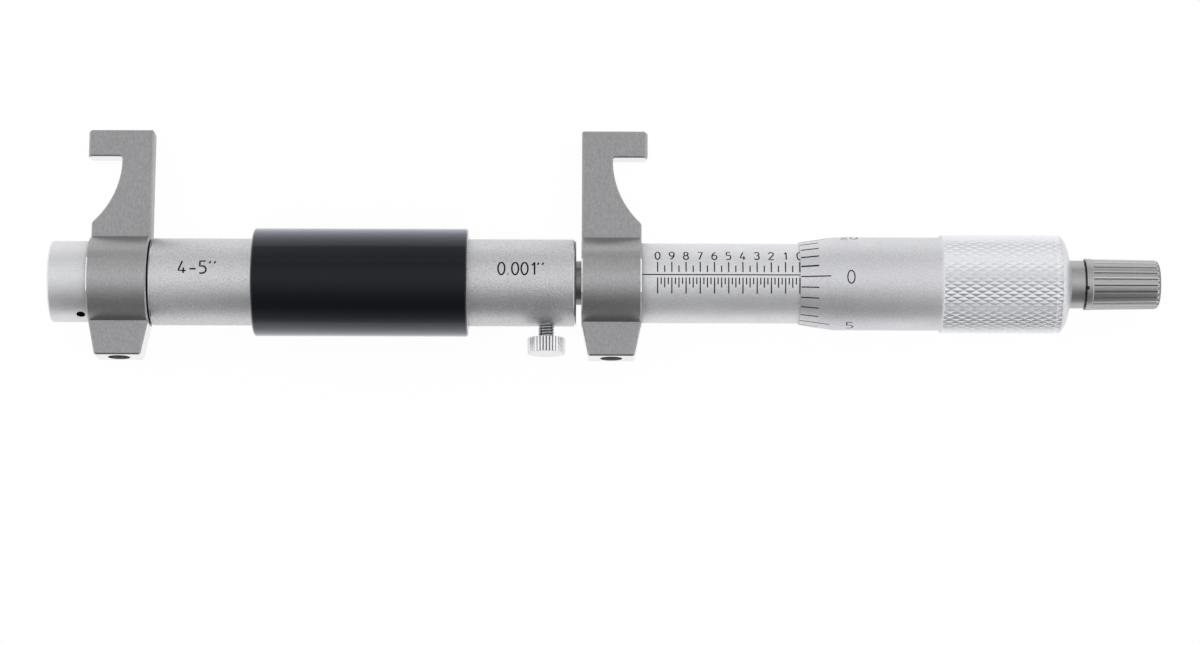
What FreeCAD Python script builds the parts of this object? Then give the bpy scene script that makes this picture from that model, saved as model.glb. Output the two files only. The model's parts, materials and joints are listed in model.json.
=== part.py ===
import FreeCAD, Part
import math
import os

# Inside micrometer, 4 to 5 inch, lying on a table as it comes to rest.
# Every piece is first made upright on its own axis: X runs along the spindle
# from the end cap to the ratchet, Y points to the measuring hooks and Z to the
# side with the scale. The last step rolls and lifts the whole set to the table.

V = FreeCAD.Vector
AXIS_X = V(1, 0, 0)
AXIS_Y = V(0, 1, 0)
AXIS_Z = V(0, 0, 1)

# ---- measuring range
INCH = 25.4
SHORT_REACH = 4 * INCH
TRAVEL = 1 * INCH

# ---- clearances
RUN = 0.03
SLIDE = 0.06
FREE = 0.3
END_PLAY = 0.02
EDGE = 0.25

# ---- stations along the axis, from the outer face of the end cap
CAP_LENGTH = 7.0
RING_WIDTH = 10.8
LEFT_EDGE = CAP_LENGTH + RING_WIDTH
JAW_GAP = 1.0
GRIP_INSET = 18.7
GRIP_LENGTH = 38.6
THRUST_INSET = 8.2
KEY_INSET = 16.5
LOCK_INSET = 5.3
SLEEVE_LENGTH = 36.2
SHOULDER_GAP = 0.5
NUT_REACH = 8.5
WALL_GAP = 1.0
SCALE_ZERO = 28.35
THIMBLE_WALL = 5.2
STEM_LENGTH = 2.8
KNOB_GAP = 0.2
KNOB_LENGTH = 13.5

# ---- jaw, seen square on: u from its straight edge, v from the spindle axis
HOOK_REACH = 11.95
HOOK_TOP = 27.75
HOOK_HEIGHT = 4.9
ARM_NECK = 5.6
ARM_THICK = 4.0
ARC_RADIUS = 15.9
CORNER_RADIUS = 0.5
RING_RADIUS = 8.25
TAIL_WAIST = 7.6
TAIL_DROP = 13.85
TAIL_THICK = 6.0
TAIL_TAPER = 1.25
TIP_LENGTH = 1.5
TIP_NOSE = 4.0

# The straight edges stand so that the two tips are 4 inches apart at zero.
RIGHT_EDGE = LEFT_EDGE + SHORT_REACH - 2 * HOOK_REACH
SLEEVE_START = RIGHT_EDGE + RING_WIDTH
TUBE_END = RIGHT_EDGE - JAW_GAP
GRIP_START = LEFT_EDGE + GRIP_INSET
THRUST_FACE = LEFT_EDGE + THRUST_INSET
KEY_X = TUBE_END - KEY_INSET
LOCK_X = TUBE_END - LOCK_INSET
SLEEVE_END = SLEEVE_START + SLEEVE_LENGTH
INNER_SHOULDER = SLEEVE_END + SHOULDER_GAP
INNER_END = INNER_SHOULDER + NUT_REACH

# The thimble's solid end stays clear of the nut over the whole travel.
THIMBLE_EDGE = SLEEVE_START + SCALE_ZERO
THIMBLE_WALL_X = INNER_END + TRAVEL + WALL_GAP
THIMBLE_END = THIMBLE_WALL_X + THIMBLE_WALL
KNOB_START = THIMBLE_END + STEM_LENGTH + KNOB_GAP
LENGTH = KNOB_START + KNOB_LENGTH

# ---- radii of the turned pieces
CAP_RADIUS = 7.32
TUBE_RADIUS = 7.85
TUBE_BORE = 5.8
SPIGOT_RADIUS = 6.0
SPIGOT_BORE = 4.3
GRIP_RADIUS = 9.75
ROD_RADIUS = 4.0
SPINDLE_RADIUS = 2.5
COLLAR_RADIUS = SPIGOT_BORE - FREE
INNER_RADIUS = 6.2
INNER_THREAD = 4.8
SLEEVE_RADIUS = 7.2
THIMBLE_EDGE_STEP = 0.25
THIMBLE_THICK = 1.2
KNURL_RISE = 0.5
THIMBLE_EDGE_RADIUS = SLEEVE_RADIUS + THIMBLE_EDGE_STEP
THIMBLE_RADIUS = SLEEVE_RADIUS + THIMBLE_THICK
KNURL_RADIUS = THIMBLE_RADIUS + KNURL_RISE
STEM_RADIUS = 4.325
KNOB_RADIUS = 4.65
COLLAR_STEP = 0.075
FLUTE_RADIUS = KNOB_RADIUS - COLLAR_STEP
KNOB_CHAMFER = 0.9

# ---- screws
SET_SCREW_RADIUS = 2.0
SET_SCREW_POINT = 1.2
SET_SCREW_SPOT = 0.5
SET_SCREW_RECESS = 1.2
SET_SCREW_SHOULDER = 0.6
SET_SCREW_SOCKET = 2.0
SET_SCREW_DEPTH = 1.8
SMALL_SCREW_RADIUS = 1.5
LOCK_HEAD_RADIUS = 3.4
LOCK_HEAD_HEIGHT = 2.75
LOCK_HEAD_TOP = 13.0
PIN_HOLE_RADIUS = 0.8
PIN_HOLE_DEPTH = 0.9
PIN_HOLE_INSET = 1.25
PIN_HOLE_X = CAP_LENGTH - PIN_HOLE_INSET
PIN_HOLE_TURN = 65


def turned(points):
    """Solid made on a lathe: (station, radius) points turned about the X axis."""
    corners = [V(x, r, 0) for x, r in points]
    face = Part.Face(Part.makePolygon(corners + corners[:1]))
    return face.revolve(V(0, 0, 0), AXIS_X, 360)


def bar(start, end, radius, edge=0.0):
    """Round bar along X with both ends chamfered by edge."""
    return pipe(start, end, radius, 0, edge)


def pipe(start, end, outer, inner, edge=0.0):
    """Pipe along X with its outer rims chamfered by edge."""
    if edge:
        return turned([(start, inner), (start, outer - edge), (start + edge, outer),
                       (end - edge, outer), (end, outer - edge), (end, inner)])
    return turned([(start, inner), (start, outer), (end, outer), (end, inner)])


def cross_pin(station, inner, outer, radius, turn):
    """Round pin square to the axis, from radius inner to outer. turn is the
    angle of its direction from +Z toward -Y, in degrees."""
    pin = Part.makeCylinder(radius, outer - inner, V(station, 0, inner), AXIS_Z)
    pin.rotate(V(0, 0, 0), AXIS_X, turn)
    return pin


def cross_box(station, inner, outer, width_x, width_across, turn):
    """Square-sided block in the same place and direction as a cross_pin."""
    corner = V(station - width_x / 2, -width_across / 2, inner)
    block = Part.makeBox(width_x, width_across, outer - inner, corner)
    block.rotate(V(0, 0, 0), AXIS_X, turn)
    return block


def hexagon(across_flats, station, inner, outer, turn):
    """Six-sided block for a socket, placed like a cross_pin."""
    corner = across_flats / math.sqrt(3)
    ring = [V(station + corner * math.cos(math.radians(60 * i)),
              corner * math.sin(math.radians(60 * i)), inner) for i in range(7)]
    block = Part.Face(Part.makePolygon(ring)).extrude(V(0, 0, outer - inner))
    block.rotate(V(0, 0, 0), AXIS_X, turn)
    return block


def plate(edges, thick, edge):
    """Plate of even thickness across Z whose two flat faces have chamfered rims."""
    face = Part.Face(Part.Wire(edges))
    solid = face.extrude(V(0, 0, thick))
    solid.translate(V(0, 0, -thick / 2))
    rims = [e for e in solid.Edges
            if all(abs(abs(p.Point.z) - thick / 2) < 1e-6 for p in e.Vertexes)]
    return solid.makeChamfer(edge, rims)


def lines(points):
    """Straight edges through the (u, v) points, left open."""
    corners = [V(u, v, 0) for u, v in points]
    return [Part.LineSegment(a, b).toShape() for a, b in zip(corners, corners[1:])]


def arc(start, through, end):
    """Round edge through three (u, v) points."""
    a, b, c = (V(u, v, 0) for u, v in (start, through, end))
    return Part.Arc(a, b, c).toShape()


TOWARD_TAIL = 90
TO_BACK = 180
TAIL_MIDDLE = RING_WIDTH / 2


# ================================================================= the jaws

def jaw():
    """Jaw with its straight edge on u = 0 and its hook toward +u."""
    hook_base = HOOK_TOP - HOOK_HEIGHT
    joint = HOOK_REACH - TIP_LENGTH
    # The hollow under the hook is one arc that leaves the neck upright.
    centre_u = ARM_NECK + ARC_RADIUS
    centre_v = hook_base - CORNER_RADIUS
    drop = math.sqrt(ARC_RADIUS ** 2 - (centre_u - RING_WIDTH) ** 2)
    half_sweep = math.asin(drop / ARC_RADIUS) / 2
    arc_top = (ARM_NECK, centre_v)
    arc_middle = (centre_u - ARC_RADIUS * math.cos(half_sweep),
                  centre_v - ARC_RADIUS * math.sin(half_sweep))
    arc_foot = (RING_WIDTH, centre_v - drop)
    inset = CORNER_RADIUS * (1 - math.sqrt(0.5))
    corner_end = (ARM_NECK + CORNER_RADIUS, hook_base)
    corner_middle = (ARM_NECK + inset, hook_base - inset)
    outline = lines([(RING_WIDTH, 0), (0, 0), (0, HOOK_TOP), (joint, HOOK_TOP),
                     (joint, hook_base), corner_end])
    outline.append(arc(corner_end, corner_middle, arc_top))
    outline.append(arc(arc_top, arc_middle, arc_foot))
    outline += lines([arc_foot, (RING_WIDTH, 0)])
    arm = plate(outline, ARM_THICK, EDGE)
    tail = plate(lines([(0, 0), (0, -TAIL_WAIST), (TAIL_TAPER, -TAIL_DROP),
                        (RING_WIDTH - TAIL_TAPER, -TAIL_DROP), (RING_WIDTH, -TAIL_WAIST),
                        (RING_WIDTH, 0), (0, 0)]), TAIL_THICK, EDGE)
    body = bar(0, RING_WIDTH, RING_RADIUS, EDGE).fuse([arm, tail])
    body = body.cut(bar(-1, RING_WIDTH + 1, SPIGOT_RADIUS))
    body = body.cut(cross_pin(TAIL_MIDDLE, 0, TAIL_DROP + 1, SET_SCREW_RADIUS, TOWARD_TAIL))
    return body.removeSplitter()


def jaw_tip():
    """Hard insert on the end of the hook with a rounded nose."""
    hook_base = HOOK_TOP - HOOK_HEIGHT
    block = Part.makeBox(TIP_LENGTH, HOOK_HEIGHT, ARM_THICK,
                         V(HOOK_REACH - TIP_LENGTH, hook_base, -ARM_THICK / 2))
    nose = Part.makeCylinder(TIP_NOSE, HOOK_HEIGHT,
                             V(HOOK_REACH - TIP_NOSE, hook_base, 0), AXIS_Y)
    return block.common(nose)


def set_screw():
    """Socket set screw that holds a jaw on its spigot."""
    shoulder = SPIGOT_RADIUS + SET_SCREW_SHOULDER
    outer = TAIL_DROP - SET_SCREW_RECESS
    body = cross_pin(TAIL_MIDDLE, shoulder, outer, SET_SCREW_RADIUS, TOWARD_TAIL)
    point = cross_pin(TAIL_MIDDLE, SPIGOT_RADIUS - SET_SCREW_SPOT, shoulder,
                      SET_SCREW_POINT, TOWARD_TAIL)
    socket = hexagon(SET_SCREW_SOCKET, TAIL_MIDDLE, outer - SET_SCREW_DEPTH, outer + 1,
                     TOWARD_TAIL)
    return body.fuse(point).cut(socket)


def screw_spot(edge_x, side):
    """Shallow drilled spot in a spigot that the set screw's point enters."""
    return cross_pin(edge_x + side * TAIL_MIDDLE, SPIGOT_RADIUS - SET_SCREW_SPOT,
                     SPIGOT_RADIUS + 1, SET_SCREW_POINT, TOWARD_TAIL)


def on_left(shape):
    """Piece of the left jaw: the same shape with its hook toward the end cap."""
    mirrored = shape.mirror(V(0, 0, 0), AXIS_X)
    mirrored.translate(V(LEFT_EDGE, 0, 0))
    return mirrored


def on_right(shape):
    """Piece of the right jaw, with its hook toward the thimble."""
    moved = shape.copy()
    moved.translate(V(RIGHT_EDGE, 0, 0))
    return moved


parts = {}
for side_name, put in (("left", on_left), ("right", on_right)):
    parts[side_name + "_jaw"] = put(jaw())
    parts[side_name + "_jaw_tip"] = put(jaw_tip())
    parts[side_name + "_jaw_set_screw"] = put(set_screw())

# ================================================================ the frame

SPIGOT_START = 2.0
BUSH_INSET = 0.5
GUIDE_LENGTH = 24.0
BUSH_END = TUBE_END - BUSH_INSET
BUSH_START = BUSH_END - GUIDE_LENGTH
KEY_SHOULDER = 5.0
KEY_TIP_RADIUS = 1.0 - RUN
KEYWAY_WIDTH = 2.0
KEYWAY_FLOOR = 3.3

tube = turned([(SPIGOT_START, SPIGOT_BORE), (SPIGOT_START, SPIGOT_RADIUS),
               (LEFT_EDGE, SPIGOT_RADIUS),
               (LEFT_EDGE, TUBE_RADIUS - EDGE), (LEFT_EDGE + EDGE, TUBE_RADIUS),
               (TUBE_END - EDGE, TUBE_RADIUS), (TUBE_END, TUBE_RADIUS - EDGE),
               (TUBE_END, TUBE_BORE), (THRUST_FACE, TUBE_BORE), (THRUST_FACE, SPIGOT_BORE)])
tube = tube.cut([screw_spot(LEFT_EDGE, -1),
                 cross_pin(LOCK_X, TUBE_BORE - 1, TUBE_RADIUS + 1, SMALL_SCREW_RADIUS, TOWARD_TAIL),
                 cross_pin(KEY_X, TUBE_BORE - 1, TUBE_RADIUS + 1, SMALL_SCREW_RADIUS, TO_BACK)])
parts["frame_tube"] = tube

parts["grip_sleeve"] = pipe(GRIP_START, GRIP_START + GRIP_LENGTH, GRIP_RADIUS, TUBE_RADIUS, EDGE)

CAP_ROOM = 0.2
CAP_WALL = SPIGOT_START - CAP_ROOM
cap = turned([(0, 0), (0, CAP_RADIUS - EDGE), (EDGE, CAP_RADIUS), (CAP_LENGTH, CAP_RADIUS),
              (CAP_LENGTH, SPIGOT_RADIUS), (CAP_WALL, SPIGOT_RADIUS), (CAP_WALL, 0)])
parts["end_cap"] = cap.cut(cross_pin(PIN_HOLE_X, CAP_RADIUS - PIN_HOLE_DEPTH, CAP_RADIUS + 1,
                                     PIN_HOLE_RADIUS, PIN_HOLE_TURN))

# The spindle is held endways between the bush and the nose of the thrust screw.
SPINDLE_LEAD = 5.0
COLLAR_LENGTH = 2.0
SPINDLE_START = THRUST_FACE - SPINDLE_LEAD
THRUST_SCREW_REACH = 8.0
THRUST_SCREW_LENGTH = 6.5
THRUST_SCREW_START = SPINDLE_START - THRUST_SCREW_REACH
NOSE_RADIUS = 1.5
BUSH_LENGTH = 8.0
SLOT_WIDTH = 1.0
SLOT_DEPTH = 1.0
parts["thrust_bush"] = pipe(THRUST_FACE, THRUST_FACE + BUSH_LENGTH, TUBE_BORE,
                            SPINDLE_RADIUS + RUN)
shoulder_x = THRUST_SCREW_START + THRUST_SCREW_LENGTH
thrust = turned([(THRUST_SCREW_START, 0), (THRUST_SCREW_START, SPIGOT_BORE),
                 (shoulder_x, SPIGOT_BORE), (shoulder_x, NOSE_RADIUS),
                 (SPINDLE_START - END_PLAY, NOSE_RADIUS), (SPINDLE_START - END_PLAY, 0)])
parts["thrust_screw"] = thrust.cut(
    Part.makeBox(SLOT_DEPTH, 2 * SPIGOT_BORE, SLOT_WIDTH,
                 V(THRUST_SCREW_START, -SPIGOT_BORE, -SLOT_WIDTH / 2)))

bush = pipe(BUSH_START, BUSH_END, TUBE_BORE, ROD_RADIUS + RUN)
parts["guide_bush"] = bush.cut([
    cross_pin(LOCK_X, ROD_RADIUS - 1, TUBE_BORE + 1, SMALL_SCREW_RADIUS, TOWARD_TAIL),
    cross_pin(KEY_X, ROD_RADIUS - 1, KEY_SHOULDER, KEY_TIP_RADIUS, TO_BACK),
    cross_pin(KEY_X, KEY_SHOULDER, TUBE_BORE + 1, SMALL_SCREW_RADIUS, TO_BACK)])

key = cross_pin(KEY_X, KEY_SHOULDER, TUBE_RADIUS - EDGE, SMALL_SCREW_RADIUS, TO_BACK)
key = key.fuse(cross_pin(KEY_X, KEYWAY_FLOOR + 0.1, KEY_SHOULDER, KEY_TIP_RADIUS, TO_BACK))
parts["guide_key_screw"] = key.cut(
    cross_box(KEY_X, TUBE_RADIUS - EDGE - 0.6, TUBE_RADIUS + 1, 0.5, 4, TO_BACK))

# ============================================================= the carriage

# The rod's end stays left of the key over the whole travel.
KEY_MARGIN = 4.6
ROD_SEAT = 5.7
NUT_LEAD = 6.0
ROD_START = KEY_X - TRAVEL - KEY_MARGIN
ROD_END = SLEEVE_START + ROD_SEAT
NUT_START = INNER_SHOULDER - NUT_LEAD

rod = pipe(ROD_START, ROD_END, ROD_RADIUS, SPINDLE_RADIUS + FREE)
keyway_end = KEY_X + KEY_TIP_RADIUS + 0.4
keyway = Part.makeBox(keyway_end - ROD_START + 1, KEYWAY_WIDTH, 2,
                      V(ROD_START - 1, -KEYWAY_WIDTH / 2, -KEYWAY_FLOOR - 2))
parts["guide_tube"] = rod.cut(keyway)

HUB_INSET = 0.25
HUB_START = RIGHT_EDGE + HUB_INSET
inner = turned([(HUB_START, ROD_RADIUS), (HUB_START, SPIGOT_RADIUS), (SLEEVE_START, SPIGOT_RADIUS),
                (SLEEVE_START, INNER_RADIUS), (INNER_SHOULDER, INNER_RADIUS),
                (INNER_SHOULDER, INNER_THREAD), (INNER_END, INNER_THREAD),
                (INNER_END, SPINDLE_RADIUS + RUN), (NUT_START, SPINDLE_RADIUS + RUN),
                (NUT_START, SPINDLE_RADIUS + 2 * FREE), (ROD_END, SPINDLE_RADIUS + 2 * FREE),
                (ROD_END, ROD_RADIUS)])
# Three saw cuts let the ring nut close the thread on the spindle.
cuts = [screw_spot(RIGHT_EDGE, 1)]
for i in range(3):
    cuts.append(cross_box((NUT_START + INNER_END) / 2 + 2, 1.0, INNER_RADIUS + 1,
                          INNER_END - NUT_START, 0.5, 60 + 120 * i))
parts["inner_sleeve"] = inner.cut(cuts)

SLEEVE_HOLE_INSET = 4.0
sleeve = pipe(SLEEVE_START, SLEEVE_END, SLEEVE_RADIUS, INNER_RADIUS)
parts["sleeve"] = sleeve.cut(cross_pin(SLEEVE_START + SLEEVE_HOLE_INSET, INNER_RADIUS,
                                       SLEEVE_RADIUS + 1, PIN_HOLE_RADIUS, TO_BACK))

RING_NUT_GAP = 1.5
RING_NUT_START = INNER_SHOULDER + RING_NUT_GAP
RING_NUT_LENGTH = 5.0
RING_NUT_END = RING_NUT_START + RING_NUT_LENGTH
RING_NUT_STEP = 0.2
RING_NUT_RADIUS = INNER_RADIUS - RING_NUT_STEP
SPANNER_DEPTH = 1.5
SPANNER_WIDTH = 1.5
nut = pipe(RING_NUT_START, RING_NUT_END, RING_NUT_RADIUS, INNER_THREAD)
parts["adjusting_nut"] = nut.cut([
    cross_box(RING_NUT_END, INNER_THREAD - 1, RING_NUT_RADIUS + 1,
              2 * SPANNER_DEPTH, SPANNER_WIDTH, turn)
    for turn in (0, TO_BACK)])

# ============================================================== the thimble

TAPER_END_RADIUS = 2.1
BASE_THREAD_LEAD = 1.5
BASE_THREAD_START = THIMBLE_WALL_X - BASE_THREAD_LEAD

spindle = turned([(SPINDLE_START, 0), (SPINDLE_START, SPINDLE_RADIUS),
                  (THRUST_FACE - COLLAR_LENGTH, SPINDLE_RADIUS),
                  (THRUST_FACE - COLLAR_LENGTH, COLLAR_RADIUS),
                  (THRUST_FACE - END_PLAY, COLLAR_RADIUS),
                  (THRUST_FACE - END_PLAY, SPINDLE_RADIUS),
                  (THIMBLE_WALL_X, SPINDLE_RADIUS), (THIMBLE_END, TAPER_END_RADIUS),
                  (THIMBLE_END, SMALL_SCREW_RADIUS), (BASE_THREAD_START, SMALL_SCREW_RADIUS),
                  (BASE_THREAD_START, 0)])
parts["spindle"] = spindle

BEVEL_LENGTH = 6.35
BEARING_LENGTH = 15.35
BORE_RELIEF = 0.4
KNURL_LENGTH = 20.6
KNURL_STEP = 0.2
KNURL_CHAMFER = 0.8
END_LENGTH = 2.1
END_CHAMFER = 0.7
END_DROP = 0.9
DOME_LENGTH = 0.5
DOME_DROP = 2.9
BEVEL_END = THIMBLE_EDGE + BEVEL_LENGTH
BEARING_END = THIMBLE_EDGE + BEARING_LENGTH
KNURL_END = THIMBLE_END - END_LENGTH
KNURL_START = KNURL_END - KNURL_LENGTH
thimble_bore = SLEEVE_RADIUS + SLIDE
outside = lines([(THIMBLE_END, TAPER_END_RADIUS), (THIMBLE_WALL_X, SPINDLE_RADIUS),
                 (THIMBLE_WALL_X, SLEEVE_RADIUS + BORE_RELIEF),
                 (BEARING_END, SLEEVE_RADIUS + BORE_RELIEF),
                 (BEARING_END, thimble_bore), (THIMBLE_EDGE, thimble_bore),
                 (THIMBLE_EDGE, THIMBLE_EDGE_RADIUS), (BEVEL_END, THIMBLE_RADIUS),
                 (KNURL_START, THIMBLE_RADIUS), (KNURL_START, THIMBLE_RADIUS + KNURL_STEP),
                 (KNURL_START + KNURL_CHAMFER, KNURL_RADIUS), (KNURL_END, KNURL_RADIUS)])
outside += lines([(KNURL_END, KNURL_RADIUS), (KNURL_END + END_CHAMFER, KNURL_RADIUS - END_DROP),
                  (THIMBLE_END - DOME_LENGTH, KNURL_RADIUS - DOME_DROP), (THIMBLE_END, STEM_RADIUS),
                  (THIMBLE_END, TAPER_END_RADIUS)])
parts["thimble"] = Part.Face(Part.Wire(outside)).revolve(V(0, 0, 0), AXIS_X, 360)

# =============================================================== the ratchet

BASE_END = KNOB_START - KNOB_GAP
TOOTH = 0.5
TOOTH_COUNT = 8
TOOTH_RUN = 1.2
TOOTH_INNER = 1.8
TOOTH_OUTER = 2.9
TEETH_SEAT = 1.0
TEETH_ROOT = BASE_END + TEETH_SEAT
TEETH_TIP = TEETH_ROOT + TOOTH
TIP_GAP = 0.05
PIVOT_RADIUS = 1.4
PIVOT_THREAD = 1.0
WEB_THICK = 1.5
WEB_DEPTH = 3.1
WEB_END = LENGTH - WEB_DEPTH
WEB_START = WEB_END - WEB_THICK


def tooth_gaps(station, depth, turn):
    """Saw-shaped grooves across a face at station, running out from the axis."""
    gaps = []
    for i in range(TOOTH_COUNT):
        profile = [V(station, 0, 0), V(station + depth, 0, 0), V(station, TOOTH_RUN, 0),
                   V(station, 0, 0)]
        groove = Part.Face(Part.makePolygon(profile)).extrude(V(0, 0, TOOTH_OUTER + 1))
        groove.rotate(V(0, 0, 0), AXIS_X, turn + 360 * i / TOOTH_COUNT)
        gaps.append(groove)
    return gaps


base = turned([(BASE_THREAD_START, PIVOT_THREAD), (BASE_THREAD_START, SMALL_SCREW_RADIUS),
               (THIMBLE_END, SMALL_SCREW_RADIUS), (THIMBLE_END, STEM_RADIUS),
               (BASE_END, STEM_RADIUS), (BASE_END, TOOTH_OUTER), (TEETH_TIP, TOOTH_OUTER),
               (TEETH_TIP, TOOTH_INNER), (TEETH_ROOT, TOOTH_INNER), (TEETH_ROOT, PIVOT_THREAD)])
parts["ratchet_base"] = base.cut(tooth_gaps(TEETH_TIP, -TOOTH, 0))

HEAD_START = WEB_END + END_PLAY
HEAD_HEIGHT = 1.8
HEAD_END = HEAD_START + HEAD_HEIGHT
HEAD_RADIUS = 2.6
PIVOT_THREAD_LENGTH = 4.0
PIVOT_START = TEETH_ROOT - PIVOT_THREAD_LENGTH
pivot = turned([(PIVOT_START, 0), (PIVOT_START, PIVOT_THREAD), (TEETH_ROOT, PIVOT_THREAD),
                (TEETH_ROOT, PIVOT_RADIUS), (HEAD_START, PIVOT_RADIUS),
                (HEAD_START, HEAD_RADIUS), (HEAD_END - EDGE, HEAD_RADIUS),
                (HEAD_END, HEAD_RADIUS - EDGE), (HEAD_END, 0)])
parts["ratchet_screw"] = pivot.cut(
    Part.makeBox(2, 3 * HEAD_RADIUS, 0.6, V(HEAD_END - 0.7, -1.5 * HEAD_RADIUS, -0.3)))

CAVITY_RADIUS = 3.35
LUG_RADIUS = 3.8
LUG_WIDTH = 1.2
RING_START = TEETH_TIP + TIP_GAP
RING_BACK = 1.2
KNOB_COLLAR = 1.5
RING_END = RING_START + TOOTH + RING_BACK
COLLAR_END = KNOB_START + KNOB_COLLAR
knob = turned([(KNOB_START, CAVITY_RADIUS), (KNOB_START, KNOB_RADIUS),
               (COLLAR_END, KNOB_RADIUS), (COLLAR_END, FLUTE_RADIUS),
               (LENGTH - KNOB_CHAMFER, FLUTE_RADIUS),
               (LENGTH, FLUTE_RADIUS - KNOB_CHAMFER), (LENGTH, HEAD_RADIUS + FREE),
               (WEB_END, HEAD_RADIUS + FREE), (WEB_END, PIVOT_RADIUS + RUN),
               (WEB_START, PIVOT_RADIUS + RUN), (WEB_START, CAVITY_RADIUS)])
lug_slot = Part.makeBox(WEB_START - KNOB_START, 2 * LUG_RADIUS, LUG_WIDTH,
                        V(KNOB_START, -LUG_RADIUS, -LUG_WIDTH / 2))
parts["ratchet_knob"] = knob.cut(lug_slot)

lugs = Part.makeBox(RING_END - RING_START - TOOTH, 2 * (LUG_RADIUS - SLIDE), LUG_WIDTH - 2 * RUN,
                    V(RING_START + TOOTH, RUN - LUG_RADIUS + RUN, RUN - LUG_WIDTH / 2))
click = bar(RING_START + TOOTH, RING_END, CAVITY_RADIUS - RUN)
click = click.fuse([pipe(RING_START, RING_END, TOOTH_OUTER, TOOTH_INNER), lugs])
click = click.cut(bar(RING_START - 1, RING_END + 1, PIVOT_RADIUS + FREE))
parts["click_ring"] = click.cut(tooth_gaps(RING_START, TOOTH, 0))

WIRE_HALF = 0.2
COIL_RADIUS = 2.6
COILS = 3
helix_height = WEB_START - RING_END - WIRE_HALF
path = Part.makeHelix(helix_height / COILS, helix_height, COIL_RADIUS)
section = Part.makePolygon([V(COIL_RADIUS + WIRE_HALF * a, 0, WIRE_HALF * b)
                            for a, b in ((-1, -1), (1, -1), (1, 1), (-1, 1), (-1, -1))])
spring = Part.Wire(path.Edges).makePipeShell([section], True, True)
spring.rotate(V(0, 0, 0), AXIS_Y, 90)
spring.translate(V(RING_END + WIRE_HALF / 2, 0, 0))
# Both ends are ground flat, so the last coils bear on their seats.
parts["ratchet_spring"] = spring.common(pipe(RING_END, WEB_START, CAVITY_RADIUS, PIVOT_RADIUS))

# ============================================================ the lock screw

PAD_PROUD = 0.1
LOCK_CHAMFER = 0.3
PAD_INNER = ROD_RADIUS + FREE
PAD_OUTER = TUBE_BORE + PAD_PROUD
parts["lock_pad"] = cross_pin(LOCK_X, PAD_INNER, PAD_OUTER, SMALL_SCREW_RADIUS - RUN, TOWARD_TAIL)
head_base = LOCK_HEAD_TOP - LOCK_HEAD_HEIGHT
head = Part.makeCylinder(LOCK_HEAD_RADIUS, LOCK_HEAD_HEIGHT, V(LOCK_X, -head_base, 0), -AXIS_Y)
rims = [e for e in head.Edges if len(e.Vertexes) == 1]
head = head.makeChamfer(LOCK_CHAMFER, rims)
parts["lock_screw"] = head.fuse(
    cross_pin(LOCK_X, PAD_OUTER + END_PLAY, head_base, SMALL_SCREW_RADIUS - RUN, TOWARD_TAIL))

# =========================================================== on to the table

# It rests on the grip and on the back corners of the two hooks.
corner_v = HOOK_TOP - EDGE
corner_z = ARM_THICK / 2
ROLL = (math.asin(GRIP_RADIUS / math.hypot(corner_v, corner_z))
        - math.atan2(corner_z, corner_v))
# Middle of the span across the table, from the tail's corner to the hook's.
far_corner = HOOK_TOP * math.cos(ROLL) + (ARM_THICK / 2 - EDGE) * math.sin(ROLL)
near_corner = ((TAIL_DROP - EDGE) * math.cos(ROLL) + TAIL_THICK / 2 * math.sin(ROLL))
shift = V(-LENGTH / 2, (near_corner - far_corner) / 2, GRIP_RADIUS)

for name, shape in parts.items():
    shape.rotate(V(0, 0, 0), AXIS_X, -math.degrees(ROLL))
    shape.translate(shift)
    if not shape.isValid() or len(shape.Solids) != 1 or shape.Volume <= 0:
        raise SystemExit("%s is not one sound solid" % name)
    shape.Solids[0].exportStep("parts/%s.step" % name)
print("roll %.4f deg, axis at y %.4f z %.4f mm, jaw edge %.3f"
      % (math.degrees(ROLL), shift.y, shift.z, RIGHT_EDGE))
print("%d pieces" % len(parts))
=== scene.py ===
import json
import logging
import math
from dataclasses import dataclass
from enum import Enum
from functools import partial
from typing import Callable, Sequence

import bmesh
import bpy
from mathutils import Matrix, Vector


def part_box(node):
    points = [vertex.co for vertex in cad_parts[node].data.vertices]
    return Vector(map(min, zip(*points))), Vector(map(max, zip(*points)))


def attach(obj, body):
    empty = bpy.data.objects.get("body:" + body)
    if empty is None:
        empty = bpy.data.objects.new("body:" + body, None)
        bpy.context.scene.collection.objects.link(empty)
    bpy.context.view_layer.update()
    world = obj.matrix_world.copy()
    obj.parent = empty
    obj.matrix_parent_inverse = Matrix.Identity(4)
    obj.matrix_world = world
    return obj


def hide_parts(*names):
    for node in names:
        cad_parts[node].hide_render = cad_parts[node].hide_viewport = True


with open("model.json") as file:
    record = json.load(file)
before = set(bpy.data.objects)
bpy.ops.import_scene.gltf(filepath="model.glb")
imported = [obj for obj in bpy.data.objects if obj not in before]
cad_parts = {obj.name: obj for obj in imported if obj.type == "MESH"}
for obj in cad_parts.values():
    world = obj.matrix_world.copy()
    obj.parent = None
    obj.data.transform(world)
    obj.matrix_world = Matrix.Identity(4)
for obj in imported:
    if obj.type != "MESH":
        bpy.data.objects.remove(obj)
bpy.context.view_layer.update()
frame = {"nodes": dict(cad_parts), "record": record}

LOG = logging.getLogger("inside_micrometer")

Point = tuple[float, float]
Stroke = list[Point]
Marks = list[tuple[Stroke, float]]
Rgba = tuple[float, float, float, float]
Mesh = bmesh.types.BMesh
Face = bmesh.types.BMFace
Edge = bmesh.types.BMEdge
Vert = bmesh.types.BMVert

# All sizes below are millimetres in the instrument's own frame: x from the
# outer face of the end cap along the spindle, y toward the measuring hooks,
# z toward the side with the scale. A profile is a row of (x, radius) points.
MM = 0.001
# Outer end of every cutter that starts inside a wall, past the widest radius.
OUTSIDE = 9.0
# Size in metres of the patches that are a little more or less worn, and how much.
CLOUD, WEAR = 6 * MM, 0.04
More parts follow.
